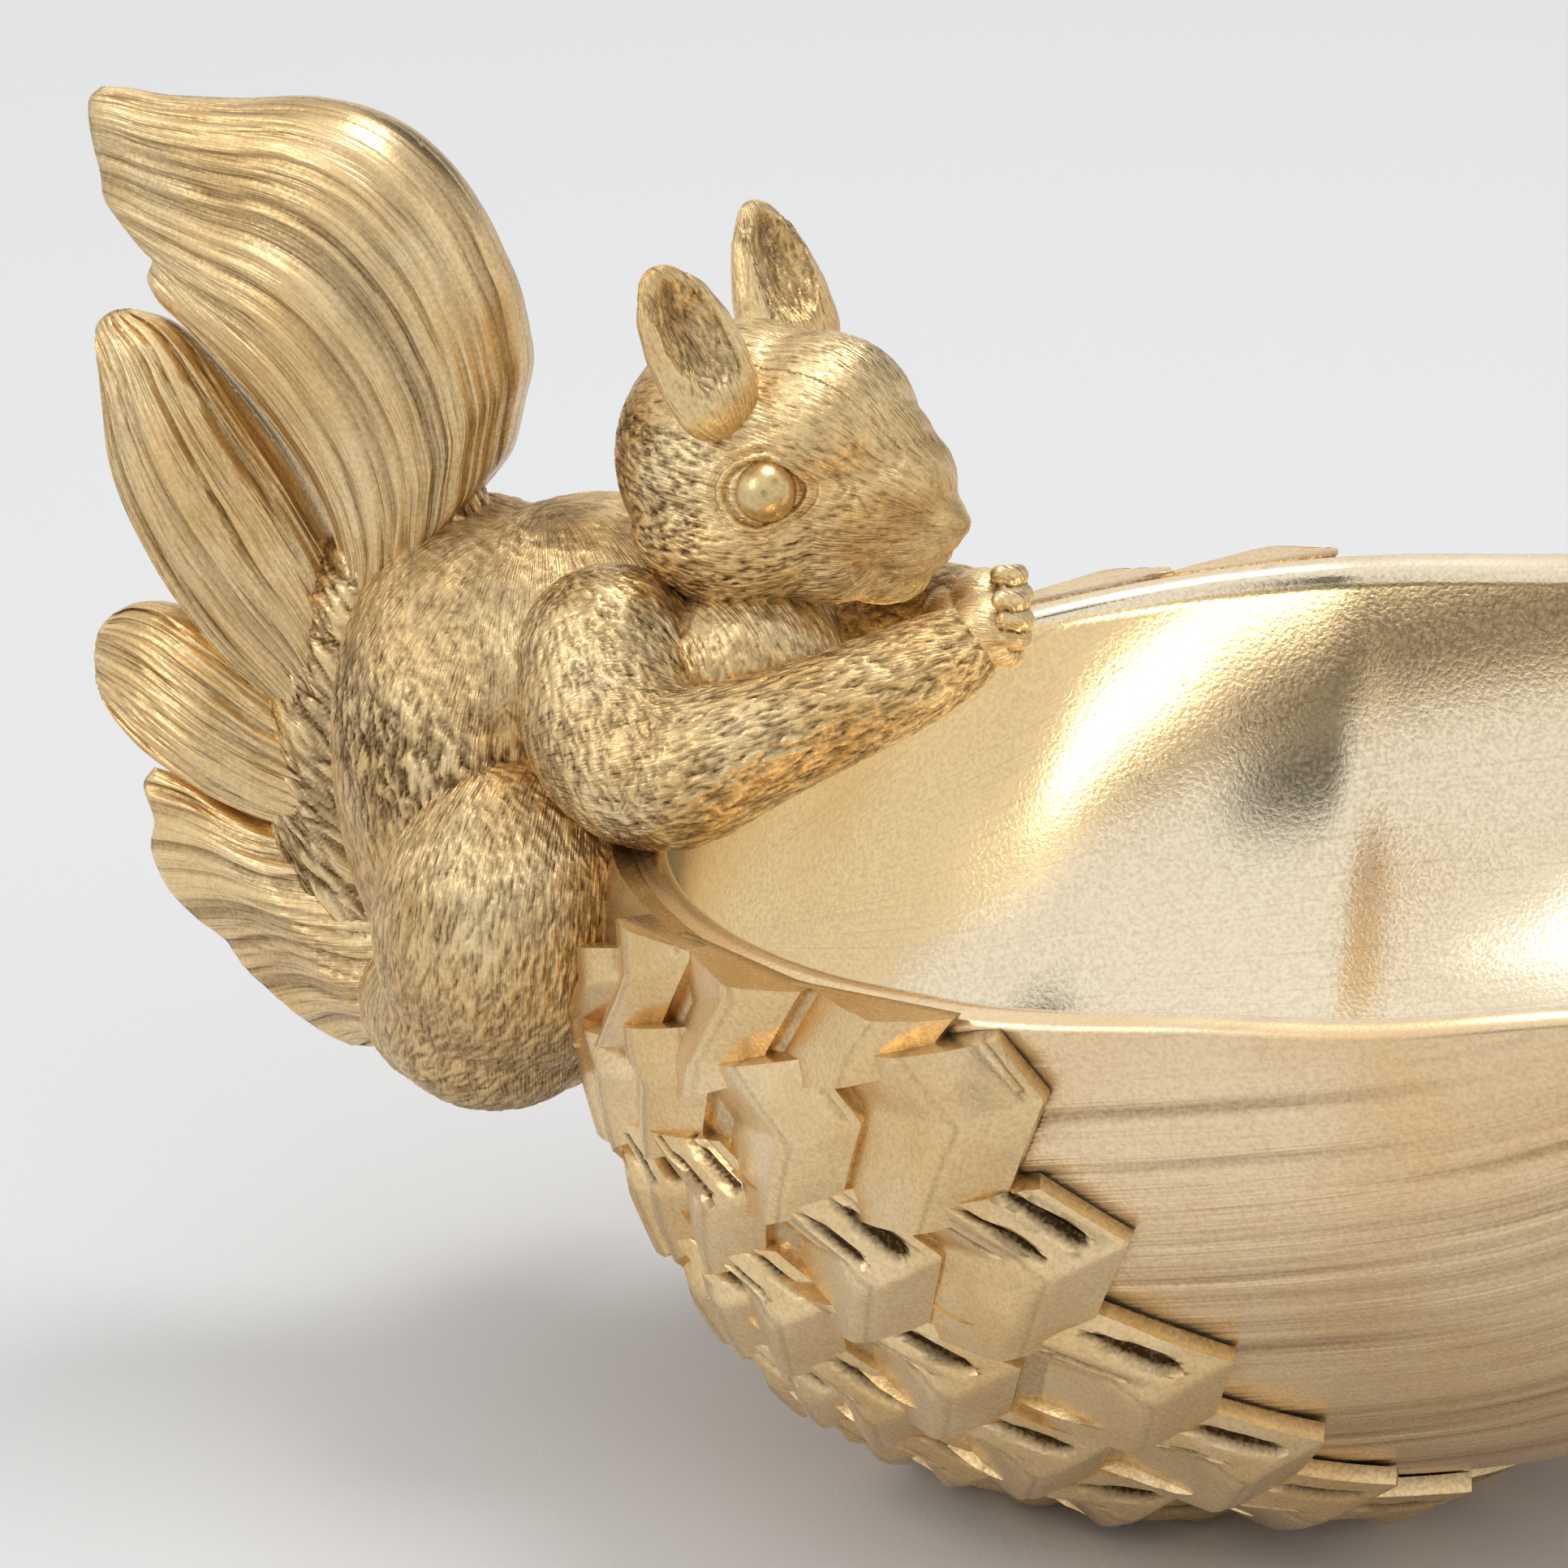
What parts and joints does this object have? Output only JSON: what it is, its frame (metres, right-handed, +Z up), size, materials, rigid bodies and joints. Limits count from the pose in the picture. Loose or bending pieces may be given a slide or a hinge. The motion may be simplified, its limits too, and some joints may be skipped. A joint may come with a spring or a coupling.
{
  "type": "squirrel acorn bowl",
  "caption": "Squirrel figurine perched on the scaled cap of an open acorn-shaped bowl, which holds nuts, sweets or small things.",
  "frame": {"origin": "middle of the whole part's footprint, on the surface it stands on", "axes": "+X runs from the squirrel to the acorn's tip, +Z is up, and the squirrel's right side faces -Y"},
  "size_m": [0.2926, 0.1754, 0.1586],
  "materials": {
    "bowl_gold": "cast resin under mottled gold leaf, satin",
    "cap_gold": "cast resin under gold leaf, brown in the cuts",
    "fur_gold": "carved fur under gold leaf, brown in the cuts",
    "tail_gold": "long carved strands under gold leaf",
    "eye_gold": "smooth polished gold leaf",
    "felt": "short felt",
    "dowel_wood": "plain turned dowel",
    "pin_steel": "cut steel pin"
  },
  "bodies": {
    "root": {"acorn_bowl": "bowl_gold", "acorn_cap": "cap_gold", "base_pad": "felt", "squirrel_torso": "fur_gold", "squirrel_head": "fur_gold", "right_ear": "fur_gold", "left_ear": "fur_gold", "right_eye": "eye_gold", "left_eye": "eye_gold", "right_arm": "fur_gold", "left_arm": "fur_gold", "right_paw": "fur_gold", "left_paw": "fur_gold", "right_hind_leg": "fur_gold", "left_hind_leg": "fur_gold", "tail_root": "tail_gold", "tail_upper_lock": "tail_gold", "tail_middle_lock": "tail_gold", "tail_lower_lock": "tail_gold", "tail_base_lock": "tail_gold", "neck_dowel": "dowel_wood", "tail_dowel": "dowel_wood", "perch_pins": "pin_steel"}
  },
  "joints": []
}
